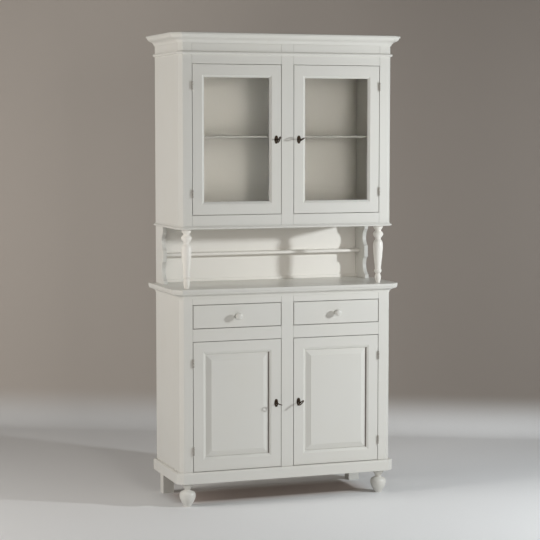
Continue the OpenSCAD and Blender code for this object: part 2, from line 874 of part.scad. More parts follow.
// Leaf on the stile: two knuckles that carry the pin
module frame_leaf(z) {
  translate([0, 0, z - hinge_h / 2]) {
    knuckle(0, knuckle_d);
    knuckle(2, knuckle_d);
    translate([hinge_x, hinge_y, 0]) cylinder(d = hinge_pin_d, h = hinge_h);
    block([open_x1, hinge_y + leaf_start, 0], [open_x1 + leaf_t, hinge_y + leaf_w, hinge_h]);
    for (i = [0, 2])
      block([open_x1 - 0.5, hinge_y, i * (knuckle_h + knuckle_gap)],
            [open_x1 + leaf_t, hinge_y + leaf_start + 1, i * (knuckle_h + knuckle_gap) + knuckle_h]);
  }
}

// Leaf on the door: one knuckle that turns on the pin
module door_leaf(z) {
  zk = knuckle_h + knuckle_gap;
  difference() {
    translate([0, 0, z - hinge_h / 2]) {
      knuckle(1, knuckle_d);
      block([door_x1 - leaf_t, hinge_y + leaf_start, 0], [door_x1, hinge_y + leaf_w, hinge_h]);
      block([door_x1 - leaf_t, hinge_y, zk],
            [door_x1 + 0.2, hinge_y + leaf_start + 1, zk + knuckle_h]);
    }
    translate([hinge_x, hinge_y, z - hinge_h / 2 - over])
      cylinder(d = hinge_pin_d + pin_fit, h = hinge_h + 2 * over);
  }
}

module hinge_frame_leaves() {
  color(nickel) on_both_sides()
    for (z = concat(base_hinges, glazed_hinges)) frame_leaf(z);
}

module drawer_front(s) {
  edge = 2;
  y0 = y_front;
  y1 = y_front + drawer_front_t;
  w = door_x1 - door_x0;
  on_side(s) color(ivory) difference() {
    intersection() {
      along_y(y0, y1) translate([door_x0, drawer_front_z]) square([w, drawer_front_h]);
      along_x(door_x0 - over, door_x1 + over) polygon([
        [y0, drawer_front_z + edge], [y0 + edge, drawer_front_z], [y1, drawer_front_z],
        [y1, drawer_front_z + drawer_front_h], [y0 + edge, drawer_front_z + drawer_front_h],
        [y0, drawer_front_z + drawer_front_h - edge]]);
      translate([0, 0, drawer_front_z]) linear_extrude(drawer_front_h) polygon([
        [door_x0 + edge, y0], [door_x1 - edge, y0], [door_x1, y0 + edge],
        [door_x1, y1], [door_x0, y1], [door_x0, y0 + edge]]);
    }
    translate([knob_x, y1 + over, knob_z]) rotate([90, 0, 0])
      cylinder(d = knob_tenon_d + dowel_fit, h = drawer_front_t + 2 * over);
  }
}

// Two sides, a back, a lower board behind the front, and a bottom that sits in grooves
module drawer_box(s) {
  y0 = y_front + drawer_front_t;
  z0 = drawer_box_z;
  z1 = drawer_box_z + drawer_box_h;
  t = drawer_side_t;
  front_drop = 20;
  on_side(s) color(drawer_wood) {
    block([drawer_x0, y0, z0], [drawer_x0 + t, drawer_y1, z1]);
    block([drawer_x1 - t, y0, z0], [drawer_x1, drawer_y1, z1]);
    block([drawer_x0, drawer_y1 - t, z0], [drawer_x1, drawer_y1, z1]);
    block([drawer_x0, y0, z0], [drawer_x1, y0 + t, z1 - front_drop]);
    block([drawer_x0 + t - drawer_groove, y0, z0 + drawer_bottom_rise],
          [drawer_x1 - t + drawer_groove, drawer_y1 - t + drawer_groove,
           z0 + drawer_bottom_rise + drawer_bottom_t]);
  }
}

module drawer_knob(s) {
  r = knob_d / 2;
  stem_r = r * 0.42;
  curves = [
    [[62, 0], [62, 5], [46, 14], [42, 30], [50, 42]],
    [[72, 48], [92, 56], [100, 68], [94, 82], [72, 93], [38, 99], [0, 100]]
  ];
  on_side(s) color(ivory) translate([knob_x, y_front, knob_z]) rotate([90, 0, 0]) {
    turned(curves, r, knob_l);
    translate([0, 0, -knob_tenon_l]) cylinder(d = knob_tenon_d, h = knob_tenon_l + stem_r);
  }
}

// Opening of a door frame. Each step is [inset from the flat, depth of its front end],
// and the walls between steps are slanted, so the corners are mitred.
module frame_opening(x0, x1, z0, z1, steps) {
  n = len(steps) - 1;
  yy = [for (q = steps) y_front + q[1]];
  intersection() {
    translate([0, 0, z0 - over]) linear_extrude(z1 - z0 + 2 * over) polygon(concat(
      [for (i = [0:n]) [x0 + steps[i][0], yy[i]]],
      [for (i = [n:-1:0]) [x1 - steps[i][0], yy[i]]]));
    along_x(x0 - over, x1 + over) polygon(concat(
      [for (i = [0:n]) [yy[i], z0 + steps[i][0]]],
      [for (i = [n:-1:0]) [yy[i], z1 - steps[i][0]]]));
  }
}

// Recesses of the hinge leaves and of the lock in a door, and the hole for the key
module door_cuts(hinges, lock_z) {
  for (z = hinges)
    block([door_x1 - leaf_t, y_front - over, z - hinge_h / 2],
          [door_x1 + over, hinge_y + leaf_w, z + hinge_h / 2]);
  block([door_x0 - over, lock_y, lock_z - lock_h / 2],
        [door_x0 + lock_w, y_in + over, lock_z + lock_h / 2]);
  translate([key_x, y_in, lock_z]) rotate([90, 0, 0])
    cylinder(d = 2 * key_shank_d, h = face_t + over);
}

// Moulding of the base doors: a small step and a flat ovolo down to a deep quirk
function base_steps() = let (w = base_door_moulding_w) [
  [-1, -over], [0, 0], [0.6, 0.9], [w * 0.4, 2.4], [w * 0.75, 4.6],
  [w, 7], [w, face_t + over]];

module base_door_frame(s) {
  m = base_door_moulding_w;
  x0 = door_x0 + base_door_stile_w;
  x1 = door_x1 - base_door_stile_w;
  z0 = base_door_z + base_door_bottom_h;
  z1 = base_door_z + base_door_h - base_door_top_h;
  on_side(s) color(ivory) difference() {
    block([door_x0, y_front, base_door_z], [door_x1, y_in, base_door_z + base_door_h]);
    frame_opening(x0, x1, z0, z1, base_steps());
    block([x0 + m - rebate, y_front + panel_groove_y, z0 + m - rebate],
          [x1 - m + rebate, y_front + panel_groove_y + panel_tongue, z1 - m + rebate]);
    door_cuts(base_hinges, base_key_z);
  }
}

// The panel's tongue starts behind the bevel
panel_tongue = 6;
panel_field_y = 0.6;
panel_step = 1;
panel_groove_y = panel_field_y + panel_step + panel_bevel_d + 1.4;

// Raised panel: a field with a small step, a bevel, and a tongue in the frame's groove
module base_door_panel(s) {
  m = base_door_moulding_w;
  play = 1;
  e = m - rebate + play;
  x0 = door_x0 + base_door_stile_w + e;
  x1 = door_x1 - base_door_stile_w - e;
  z0 = base_door_z + base_door_bottom_h + e;
  z1 = base_door_z + base_door_h - base_door_top_h - e;
  lip = rebate - play;
  f = panel_field_y;
  steps = [
    [lip + panel_bevel_w, f], [lip + panel_bevel_w, f + panel_step],
    [lip, f + panel_step + panel_bevel_d], [lip, panel_groove_y],
    [0, panel_groove_y], [0, panel_groove_y + panel_tongue]];
  on_side(s) color(ivory) frame_opening(x0, x1, z0, z1, steps);
}

function glazed_steps() = let (w = glazed_moulding_w) [
  [-1, -over], [0, 0], [0.6, 0.9], [w * 0.5, 3.2], [w, 6.6], [w, face_t + over]];

glass_y = y_front + 9;

// Frame with a rebate for the glass, and loose glazing beads behind the glass
module glazed_door_frame(s) {
  m = glazed_moulding_w;
  x0 = door_x0 + glazed_stile_w;
  x1 = door_x1 - glazed_stile_w;
  z0 = glazed_door_z + glazed_rail_h;
  z1 = glazed_door_z + glazed_door_h - glazed_rail_h;
  e = m - rebate;
  b = glazing_bead;
  on_side(s) color(ivory) {
    difference() {
      block([door_x0, y_front, glazed_door_z], [door_x1, y_in, glazed_door_z + glazed_door_h]);
      frame_opening(x0, x1, z0, z1, glazed_steps());
      block([x0 + e, glass_y, z0 + e], [x1 - e, y_in + over, z1 - e]);
      door_cuts(glazed_hinges, glazed_key_z);
    }
    difference() {
      block([x0 + e + 0.1, glass_y + glass_t, z0 + e + 0.1],
            [x1 - e - 0.1, glass_y + glass_t + b, z1 - e - 0.1]);
      block([x0 + e + b, glass_y, z0 + e + b], [x1 - e - b, y_in + over, z1 - e - b]);
    }
  }
}

module glass_pane(s) {
  e = glazed_moulding_w - rebate + 0.5;
  on_side(s) color(clear_glass)
    block([door_x0 + glazed_stile_w + e, glass_y, glazed_door_z + glazed_rail_h + e],
          [door_x1 - glazed_stile_w - e, glass_y + glass_t,
           glazed_door_z + glazed_door_h - glazed_rail_h - e]);
}

// Oval plate with a keyhole, drawn round the key's axis: two arcs with rounded ends
module escutcheon(s, z) {
  half_w0 = escutcheon_w / 2;
  half_h = escutcheon_h / 2;
  tip = half_w0 * 0.42;
  side_r = (pow(half_h, 2) + pow(half_w0 - tip, 2)) / (2 * (half_w0 - tip));
  drop = 8;
  slot = 2.6;
  on_side(s) color(bronze) translate([key_x, y_front, z]) rotate([90, 0, 0])
    linear_extrude(escutcheon_t) difference() {
      intersection() {
        translate([side_r - half_w0, 0]) circle(side_r);
        translate([half_w0 - side_r, 0]) circle(side_r);
        circle(half_h);
      }
      circle(d = key_shank_d + 1.2);
      translate([-slot / 2, -drop]) square([slot, drop]);
    }
}

// Lock case let into the back of the door, hollow for the bolt and for the key's bit
module lock_case(s, z) {
  cavity_y0 = lock_y + lock_wall;
  cavity_y1 = y_in - lock_wall;
  on_side(s) color(steel) difference() {
    block([door_x0, lock_y, z - lock_h / 2], [door_x0 + lock_w, y_in, z + lock_h / 2]);
    translate([key_x, cavity_y1, z]) rotate([90, 0, 0])
      cylinder(r = bit_r + bit_clear, h = cavity_y1 - cavity_y0);
    translate([key_x, cavity_y1, z]) rotate([90, 0, 0])
      cylinder(d = key_shank_d + shank_fit, h = cavity_y1 - lock_y + over);
    block([door_x0 - over, cavity_y0, z - bolt_h / 2 - 0.2],
          [key_x - bit_r, cavity_y1, z + bolt_h / 2 + 0.2]);
  }
}

module lock_bolt(s, z) {
  nose = 0.5;
  on_side(s) color(steel)
    block([door_x0 + nose, bolt_y, z - bolt_h / 2],
          [door_x0 + nose + bolt_l, bolt_y + bolt_t, z + bolt_h / 2]);
}

// Key with an oval bow, a collar, and a bit inside the lock case
module lock_key(s, z, turn) {
  shank_in = face_t - lock_wall - 0.5;
  r = key_bow_l / 2;
  half = key_bow_w / 2 - r;
  ri = r - key_ring_w;
  bit_w = lock_t - 2 * lock_wall - 1;
  color(bronze) translate([s * key_x, y_front, z]) rotate([90, 0, 0]) rotate([0, 0, turn]) {
    translate([0, 0, -shank_in]) cylinder(d = key_shank_d, h = shank_in + key_shank_l + key_ring_w / 2);
    translate([0, 0, key_shank_l - 4]) cylinder(d = key_shank_d + 2.4, h = 2.5);
    translate([0, 0, -shank_in]) translate([0, -bit_t / 2, 0]) cube([bit_r, bit_t, bit_w]);
    translate([0, key_bow_t / 2, key_shank_l + r]) rotate([90, 0, 0]) linear_extrude(key_bow_t)
      difference() {
        bow_outline(half, r);
        bow_outline(half, ri);
      }
  }
}

module bow_outline(half, r) {
  translate([-half, -r]) square([2 * half, 2 * r]);
  translate([half, 0]) circle(r);
  translate([-half, 0]) circle(r);
}

module hinge_leaves(s, hinges) {
  color(nickel) on_side(s) for (z = hinges) door_leaf(z);
}

front_feet();
rear_feet();
plinth();
base_bottom_board();
base_side_panels();
base_back_panel();
base_stiles();
base_rails();
base_shelf();
drawer_runners();
worktop();
niche_brackets();
niche_back_board();
niche_shelf();
columns();
upper_bottom_board();
bead_mouldings();
upper_side_panels();
upper_back_panel();
upper_stiles();
upper_rails();
display_shelf();
shelf_pins();
upper_top_board();
crown();
hinge_frame_leaves();
drawer_front(-1);  // drawer_front_left
drawer_box(-1);  // drawer_box_left
drawer_knob(-1);  // drawer_knob_left
drawer_front(1);  // drawer_front_right
drawer_box(1);  // drawer_box_right
drawer_knob(1);  // drawer_knob_right
base_door_frame(-1);  // base_door_frame_left
base_door_panel(-1);  // base_door_panel_left
escutcheon(-1, base_key_z);  // base_escutcheon_left
lock_case(-1, base_key_z);  // base_lock_left
lock_bolt(-1, base_key_z);  // base_bolt_left
lock_key(-1, base_key_z, key_turn_lower_left);  // base_key_left
hinge_leaves(-1, base_hinges);  // base_hinge_leaves_left
base_door_frame(1);  // base_door_frame_right
base_door_panel(1);  // base_door_panel_right
escutcheon(1, base_key_z);  // base_escutcheon_right
lock_case(1, base_key_z);  // base_lock_right
lock_bolt(1, base_key_z);  // base_bolt_right
lock_key(1, base_key_z, key_turn_lower_right);  // base_key_right
hinge_leaves(1, base_hinges);  // base_hinge_leaves_right
glazed_door_frame(-1);  // glazed_door_frame_left
glass_pane(-1);  // glass_left
escutcheon(-1, glazed_key_z);  // upper_escutcheon_left
lock_case(-1, glazed_key_z);  // upper_lock_left
lock_bolt(-1, glazed_key_z);  // upper_bolt_left
lock_key(-1, glazed_key_z, key_turn_upper_left);  // upper_key_left
hinge_leaves(-1, glazed_hinges);  // upper_hinge_leaves_left
glazed_door_frame(1);  // glazed_door_frame_right
glass_pane(1);  // glass_right
escutcheon(1, glazed_key_z);  // upper_escutcheon_right
lock_case(1, glazed_key_z);  // upper_lock_right
lock_bolt(1, glazed_key_z);  // upper_bolt_right
lock_key(1, glazed_key_z, key_turn_upper_right);  // upper_key_right
hinge_leaves(1, glazed_hinges);  // upper_hinge_leaves_right
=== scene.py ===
import json
import math

import bmesh
import bpy
from mathutils import Matrix, Vector
from mathutils.bvhtree import BVHTree


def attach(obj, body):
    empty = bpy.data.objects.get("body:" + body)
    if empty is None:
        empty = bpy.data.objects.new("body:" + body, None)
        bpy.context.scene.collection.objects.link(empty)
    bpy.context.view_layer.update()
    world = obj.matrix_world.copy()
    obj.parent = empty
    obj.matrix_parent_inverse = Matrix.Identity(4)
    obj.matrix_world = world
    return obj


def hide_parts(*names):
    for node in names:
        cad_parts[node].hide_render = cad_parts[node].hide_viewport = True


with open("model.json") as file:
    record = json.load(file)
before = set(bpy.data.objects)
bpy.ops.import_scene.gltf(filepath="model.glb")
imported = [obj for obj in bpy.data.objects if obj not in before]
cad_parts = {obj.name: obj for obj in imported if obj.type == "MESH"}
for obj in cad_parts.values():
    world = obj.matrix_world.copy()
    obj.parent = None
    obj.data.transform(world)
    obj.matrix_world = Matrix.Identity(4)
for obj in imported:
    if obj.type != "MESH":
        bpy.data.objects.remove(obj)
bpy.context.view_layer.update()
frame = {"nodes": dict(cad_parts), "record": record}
NODES = frame["nodes"]
SIDES = ("left", "right")


# Shader node helpers

def node(tree, kind, **settings):
    made = tree.nodes.new(kind)
    for key, value in settings.items():
        setattr(made, key, value)
    return made


def feed(tree, socket, value):
    """Sets a socket to a number or a colour, or links an output to it."""
    if isinstance(value, bpy.types.NodeSocket):
        tree.links.new(value, socket)
    elif isinstance(value, tuple) and len(value) == 3 and socket.type == "RGBA":
        socket.default_value = (*value, 1.0)
    else:
        socket.default_value = value


def noise(tree, vector, scale, detail, roughness):
    made = node(tree, "ShaderNodeTexNoise")
    made.inputs["Detail"].default_value = detail
    made.inputs["Roughness"].default_value = roughness
    feed(tree, made.inputs["Scale"], scale)
    tree.links.new(vector, made.inputs["Vector"])
    return made.outputs["Fac"]


def spread(tree, value, low, high, to_low=0.0, to_high=1.0):
    """The value's range from low to high, brought smoothly to another range."""
    made = node(tree, "ShaderNodeMapRange", interpolation_type="SMOOTHSTEP")
    tree.links.new(value, made.inputs["Value"])
    limits = {"From Min": low, "From Max": high, "To Min": to_low, "To Max": to_high}
    for label, number in limits.items():
        made.inputs[label].default_value = number
    return made.outputs["Result"]


def mix_colour(tree, factor, a, b):
    made = node(tree, "ShaderNodeMix", data_type="RGBA")
    feed(tree, made.inputs["Factor"], factor)
    feed(tree, made.inputs["A"], a)
    feed(tree, made.inputs["B"], b)
    return made.outputs["Result"]


def mix_shader(tree, factor, first, second):
    made = node(tree, "ShaderNodeMixShader")
    tree.links.new(factor, made.inputs["Fac"])
    tree.links.new(first, made.inputs[1])
    tree.links.new(second, made.inputs[2])
    return made.outputs["Shader"]


def sums(tree, operation, a, b):
    made = node(tree, "ShaderNodeMath", operation=operation)
    feed(tree, made.inputs[0], a)
    feed(tree, made.inputs[1], b)
    return made.outputs["Value"]


def stretched(tree, vector, scale):
    made = node(tree, "ShaderNodeMapping")
    made.inputs["Scale"].default_value = scale
    tree.links.new(vector, made.inputs["Vector"])
    return made.outputs["Vector"]


def new_group(name, inputs):
    """A shader node group that makes Colour, Roughness and Height from a Vector and the given
    inputs, as (tree, the inputs' sockets, group output)."""
    tree = bpy.data.node_groups.new(name, "ShaderNodeTree")
    tree.interface.new_socket(name="Vector", in_out="INPUT", socket_type="NodeSocketVector")
    for label, value in inputs.items():
        is_colour = isinstance(value, tuple)
        kind = "NodeSocketColor" if is_colour else "NodeSocketFloat"
        socket = tree.interface.new_socket(name=label, in_out="INPUT", socket_type=kind)
        socket.default_value = (*value, 1.0) if is_colour else value
    for label, kind in (("Colour", "Color"), ("Roughness", "Float"), ("Height", "Float")):
        tree.interface.new_socket(name=label, in_out="OUTPUT", socket_type="NodeSocket" + kind)
    return tree, tree.nodes.new("NodeGroupInput").outputs, tree.nodes.new("NodeGroupOutput")


def give(tree, end, colour, roughness, height):
    """Links a group's three results to its output."""
    for label, result in (("Colour", colour), ("Roughness", roughness), ("Height", height)):
        tree.links.new(result, end.inputs[label])


# Finishes

def lacquer_group():
    """Sprayed lacquer: cloudy tone, faint roller texture, painted shade in the narrow gaps."""
    tree, given, end = new_group("lacquer_surface", {
        "Colour": (0.8, 0.78, 0.72), "Warm": (0.74, 0.7, 0.6), "Cloud size": 3.5,
        "Texture size": 420.0, "Gloss": 0.32, "Painted gap shade": 0.0, "Painted shade colour": (0.13, 0.10, 0.08)})
    vector = given["Vector"]
    clouds = noise(tree, vector, given["Cloud size"], detail=4.0, roughness=0.55)
    cloud_mask = spread(tree, clouds, 0.35, 0.75)
    specks = noise(tree, vector, scale=60.0, detail=5.0, roughness=0.6)
    warmth = sums(tree, "MULTIPLY", cloud_mask, 0.35)
    tone = mix_colour(tree, warmth, given["Colour"], given["Warm"])
    tone = mix_colour(tree, spread(tree, specks, 0.62, 0.82, to_high=0.12), tone, given["Warm"])
    # Painted shade: faces marked as lying in a gap are darkened towards a dark brown
    tone = mix_colour(tree, given["Painted gap shade"], tone, given["Painted shade colour"])
    peel = noise(tree, vector, given["Texture size"], detail=2.0, roughness=0.5)
    drawn = stretched(tree, vector, (900.0, 900.0, 45.0))
    strokes = noise(tree, drawn, scale=1.0, detail=3.0, roughness=0.6)
    height = sums(
        tree, "ADD", sums(tree, "MULTIPLY", peel, 0.6), sums(tree, "MULTIPLY", strokes, 0.4))
    rough = sums(tree, "ADD", given["Gloss"], sums(tree, "MULTIPLY", cloud_mask, 0.08))
    rough = sums(tree, "ADD", rough, sums(tree, "MULTIPLY", specks, 0.06))
    give(tree, end, tone, rough, height)
    return tree


def grain_group():
    """Plain softwood: growth lines along Y, pores and a few darker bands."""
    tree, given, end = new_group("softwood_grain", {
        "Light": (0.72, 0.58, 0.38), "Dark": (0.5, 0.34, 0.18), "Ring size": 22.0})
    vector = stretched(tree, given["Vector"], (1.0, 0.12, 1.0))
    warp = noise(tree, vector, scale=6.0, detail=3.0, roughness=0.5)
    wave = node(tree, "ShaderNodeTexWave", wave_type="RINGS", rings_direction="Y")
    tree.links.new(vector, wave.inputs["Vector"])
    tree.links.new(given["Ring size"], wave.inputs["Scale"])
    wave.inputs["Distortion"].default_value = 5.0
    wave.inputs["Detail"].default_value = 3.0
    drawn = stretched(tree, given["Vector"], (800.0, 30.0, 800.0))
    pores = noise(tree, drawn, scale=1.0, detail=4.0, roughness=0.6)
    rings = spread(tree, wave.outputs["Fac"], 0.2, 0.9, to_high=0.55)
    tone = mix_colour(tree, rings, given["Light"], given["Dark"])
    tone = mix_colour(tree, spread(tree, pores, 0.55, 0.8, to_high=0.35), tone, given["Dark"])
    tone = mix_colour(tree, spread(tree, warp, 0.4, 0.7, to_high=0.2), tone, given["Light"])
    give(tree, end, tone, spread(tree, pores, 0.3, 0.7, to_low=0.5, to_high=0.72), pores)
    return tree


def metal_group():
    """Metal with a mottled patina and fine scratches."""
    tree, given, end = new_group("metal_patina", {
        "Metal": (0.2, 0.15, 0.1), "Patina": (0.05, 0.04, 0.03), "Patina size": 260.0,
        "Patina amount": 0.6, "Smoothness": 0.35})
    vector = given["Vector"]
    blotches = noise(tree, vector, given["Patina size"], detail=4.0, roughness=0.6)
    mask = sums(tree, "MULTIPLY", spread(tree, blotches, 0.4, 0.65), given["Patina amount"])
    drawn = stretched(tree, vector, (2500.0, 2500.0, 200.0))
    scratches = noise(tree, drawn, scale=1.0, detail=3.0, roughness=0.6)
    rough = sums(tree, "ADD", given["Smoothness"], sums(tree, "MULTIPLY", mask, 0.25))
    rough = sums(tree, "ADD", rough, sums(tree, "MULTIPLY", scratches, 0.08))
    give(tree, end, mix_colour(tree, mask, given["Metal"], given["Patina"]), rough,
         sums(tree, "ADD", blotches, scratches))
    return tree


LACQUER = lacquer_group()
GRAIN = grain_group()
METAL = metal_group()
# Height of the bumps, in metres
RELIEF_HEIGHT = 0.0004
GLASS_IOR = 1.45
# Part of the scattered light that passes the panes straight, as the lamps' light does
STRAIGHT_SHARE = 0.42
# Light is let in less and less between these two slants to the pane
SLANT_RANGE = (0.05, 0.3)


def finish_from(name, group, values, bump, plain):
    """A material whose colour, roughness and bump come from a group over Object coordinates."""
    material = bpy.data.materials.new(name)
    material.use_nodes = True
    tree = material.node_tree
    shader = tree.nodes["Principled BSDF"]
    where = node(tree, "ShaderNodeTexCoord")
    made = node(tree, "ShaderNodeGroup", node_tree=group)
    tree.links.new(where.outputs["Object"], made.inputs["Vector"])
    for label, value in values.items():
        feed(tree, made.inputs[label], value)
    if group is LACQUER:
        # Painted shade in the gaps, read from the marks stored on the eased meshes
        painted_gap_shade = node(tree, "ShaderNodeAttribute", attribute_name="painted_gap_shade")
        tree.links.new(painted_gap_shade.outputs["Fac"], made.inputs["Painted gap shade"])
    tree.links.new(made.outputs["Colour"], shader.inputs["Base Color"])
    tree.links.new(made.outputs["Roughness"], shader.inputs["Roughness"])
    relief = node(tree, "ShaderNodeBump")
    relief.inputs["Strength"].default_value = bump
    relief.inputs["Distance"].default_value = RELIEF_HEIGHT
    tree.links.new(made.outputs["Height"], relief.inputs["Height"])
    tree.links.new(relief.outputs["Normal"], shader.inputs["Normal"])
    for label, value in plain.items():
        shader.inputs[label].default_value = value
    return material


def clear_glass():
    """Window glass that lets the light through to the shelves without caustics."""
    material = bpy.data.materials.new("clear_glass")
    material.use_nodes = True
    tree = material.node_tree
    path = node(tree, "ShaderNodeLightPath")
    facing = node(tree, "ShaderNodeLayerWeight")
    slant = spread(tree, facing.outputs["Facing"], *SLANT_RANGE)
    let_in = mix_colour(tree, slant, (0.95, 0.95, 0.94), (0.03, 0.03, 0.03))

    # What is seen: glass with a faint film. Inside the pane the light only passes on, so that a
    # lamp shows once in it and not twice
    where = node(tree, "ShaderNodeTexCoord")
    film = noise(tree, where.outputs["Object"], scale=5.0, detail=3.0, roughness=0.5)
    clear = mix_colour(tree, film, (0.985, 0.985, 0.98), (0.995, 0.995, 0.99))
    entering = tree.nodes["Principled BSDF"]
    entering.inputs["Roughness"].default_value = 0.0
    entering.inputs["IOR"].default_value = GLASS_IOR
    entering.inputs["Transmission Weight"].default_value = 1.0
    tint = mix_colour(tree, path.outputs["Is Diffuse Ray"], clear, let_in)
    feed(tree, entering.inputs["Base Color"], tint)
    leaving = node(tree, "ShaderNodeBsdfRefraction")
    leaving.inputs["Roughness"].default_value = 0.0
    leaving.inputs["IOR"].default_value = GLASS_IOR
    side = node(tree, "ShaderNodeNewGeometry")
    pane = mix_shader(
        tree, side.outputs["Backfacing"], entering.outputs["BSDF"], leaving.outputs["BSDF"])

    # What lights the inside: a plain transparent sheet that holds slanting light back
    through = node(tree, "ShaderNodeBsdfTransparent")
    feed(tree, through.inputs["Color"], let_in)
    bounced = sums(tree, "MULTIPLY", path.outputs["Is Diffuse Ray"], STRAIGHT_SHARE)
    straight = sums(tree, "MAXIMUM", path.outputs["Is Shadow Ray"], bounced)
    whole = mix_shader(tree, straight, pane, through.outputs["BSDF"])
    tree.links.new(whole, tree.nodes["Material Output"].inputs["Surface"])
    return material


def lacquer(colour, warm, cloud_size=3.5, texture_size=420.0, gloss=0.32):
    return {"Colour": colour, "Warm": warm, "Cloud size": cloud_size, "Texture size": texture_size,
            "Gloss": gloss}


def metal(colour, patina, patina_size, patina_amount, smoothness):
    return {"Metal": colour, "Patina": patina, "Patina size": patina_size,
            "Patina amount": patina_amount, "Smoothness": smoothness}


# Each finish: its group, the group's values, the bumps' strength and plain shader values
LOOKS = {
    "ivory_lacquer": (
        LACQUER, lacquer((0.70, 0.69, 0.65), (0.68, 0.66, 0.60), gloss=0.30),
        0.06, {"Coat Weight": 0.15, "Coat Roughness": 0.18}),
    "cabinet_interior": (
        LACQUER,
        lacquer((0.89, 0.87, 0.805), (0.85, 0.825, 0.74), cloud_size=2.5, texture_size=300.0,
                gloss=0.5),
        0.08, {}),
    "drawer_wood": (
        GRAIN, {"Light": (0.66, 0.52, 0.33), "Dark": (0.46, 0.32, 0.18), "Ring size": 22.0},
        0.1, {}),
    "dark_bronze": (
        METAL, metal((0.075, 0.05, 0.032), (0.02, 0.014, 0.01), 260.0, 0.7, 0.30),
        0.15, {"Metallic": 0.85}),
    "plain_steel": (
        METAL, metal((0.55, 0.55, 0.53), (0.4, 0.4, 0.38), 120.0, 0.4, 0.32),
        0.08, {"Metallic": 1.0}),
    "hinge_nickel": (
        METAL, metal((0.48, 0.46, 0.42), (0.2, 0.175, 0.15), 160.0, 0.6, 0.36),
        0.06, {"Metallic": 0.35}),
}
FINISHES = {name: finish_from(name, *look) for name, look in LOOKS.items()}
FINISHES["clear_glass"] = clear_glass()

# Painted light: a lighter copy of the lacquer on the niche's pieces stands for their brighter light
PAINTED_LIGHT_PIECES = ("niche_back_board", "niche_shelf", "columns")
PAINTED_LIGHT_COAT = finish_from(
    "ivory_lacquer_painted_light", LACQUER, lacquer((0.85, 0.825, 0.775), (0.83, 0.795, 0.73)), 0.06, {})


# Pieces

SLOTS = {entry["node"]: entry["material_slot"] for entry in frame["record"]["subparts"]}
BODIES = frame["record"]["behaviour"]["bodies"]
BODY_OF = {name: body for body, names in BODIES.items() for name in names}


def both(*stems):
    """The left and the right node's name of each stem."""
    return [stem + "_" + side for stem in stems for side in SIDES]


# Nodes by the width of their rounded edges, in metres
EASED = {
    0.0014: ["base_stiles", "base_rails", "upper_stiles", "upper_rails"],
    0.0010: ["rear_feet", "niche_shelf", "display_shelf", "base_shelf", "niche_back_board",
             "base_bottom_board", "upper_bottom_board", "upper_top_board", "base_side_panels",
             "upper_side_panels", "drawer_runners"],
    0.0015: ["niche_brackets"],
    0.0006: ["plinth", "worktop", "crown", "bead_mouldings", "front_feet", "columns"] + both(
        "base_door_frame", "glazed_door_frame", "base_door_panel", "drawer_front", "drawer_box",
        "drawer_knob"),
    0.0003: ["hinge_frame_leaves"] + both(
        "base_hinge_leaves", "upper_hinge_leaves", "base_lock", "upper_lock", "base_escutcheon",
        "upper_escutcheon", "base_key", "upper_key"),
}
ROUNDING_STEPS = 2
ROUNDED_FROM = math.radians(28.0)
SMOOTH_UP_TO = math.radians(48.0)
WEIGHT_OF_LARGE_FACES = 90
# Points this near are one, and faces this much alike in direction are one flat
SAME_SPOT = 2e-6
SAME_PLANE = math.radians(0.3)

# Pieces of the cabinet's front, with narrow gaps between them
FRONT = ["base_stiles", "base_rails", "upper_stiles", "upper_rails", "plinth", "upper_bottom_board"]
FRONT += both("base_door_frame", "base_door_panel", "glazed_door_frame", "glass", "drawer_front")
# A face looks into a gap where another piece of the front stands within this reach of it
GAP_REACH = 0.0045
# Strength of the painted shade on gap faces: fixed pieces, doors and drawers, beside a raised panel
GAP_SHADE = 0.6
MOVING_GAP_SHADE = 0.36
PANEL_GAP_SHADE = 0.85
# The wall beside a raised panel: how near its faces are to the frame's inner edge, and how far
# left they look. The edge itself is found from the faces that look straight to the left
PANEL_GAP_REACH = 0.003
LOOKS_LEFT = -0.6
LOOKS_STRAIGHT_LEFT = -0.99
# The ray from a corner starts this part of the way to the face's middle and this far off the face
RAY_INSET = 0.02
RAY_LIFT = 0.0001


def place(name, mesh, finish, slot, body, *replaced):
    """A finished piece at the origin that rides on a body and stands for CAD nodes."""
    piece = bpy.data.objects.new(name, mesh)
    bpy.context.scene.collection.objects.link(piece)
    mesh.materials.clear()
    mesh.materials.append(finish)
    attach(piece, body)
    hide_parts(*replaced)


def middle_of(mesh):
    """The middle of the mesh's box."""
    along_axes = [[vertex.co[axis] for vertex in mesh.vertices] for axis in range(3)]
    return Vector([(min(values) + max(values)) / 2 for values in along_axes])


def sight_line(source):
    """X of a panelled door frame's inner edge at the right of its panel."""
    frame_mesh = NODES[source].data
    middle = middle_of(frame_mesh).x
    return min(face.center.x for face in frame_mesh.polygons
               if face.normal.x < LOOKS_STRAIGHT_LEFT and face.center.x > middle)


def merged(source):
    """A joined copy of a CAD node's mesh with its flat faces made whole. Door frames are cut
    through the middle, so that no face runs all the way round an opening."""
    mesh = NODES[source].data.copy()
    shape = bmesh.new()
    shape.from_mesh(mesh)
    bmesh.ops.remove_doubles(shape, verts=shape.verts, dist=SAME_SPOT)
    if "door_frame" in source:
        for across in ((1, 0, 0), (0, 0, 1)):
            cut = bmesh.ops.bisect_plane(
                shape, geom=shape.verts[:] + shape.edges[:] + shape.faces[:],
                plane_co=middle_of(mesh), plane_no=across)
            for part in cut["geom_cut"]:
                if isinstance(part, bmesh.types.BMEdge):
                    part.seam = True
    bmesh.ops.dissolve_limit(
        shape, angle_limit=SAME_PLANE, verts=shape.verts, edges=shape.edges, delimit={"SEAM"})
    shape.to_mesh(mesh)
    shape.free()
    return mesh


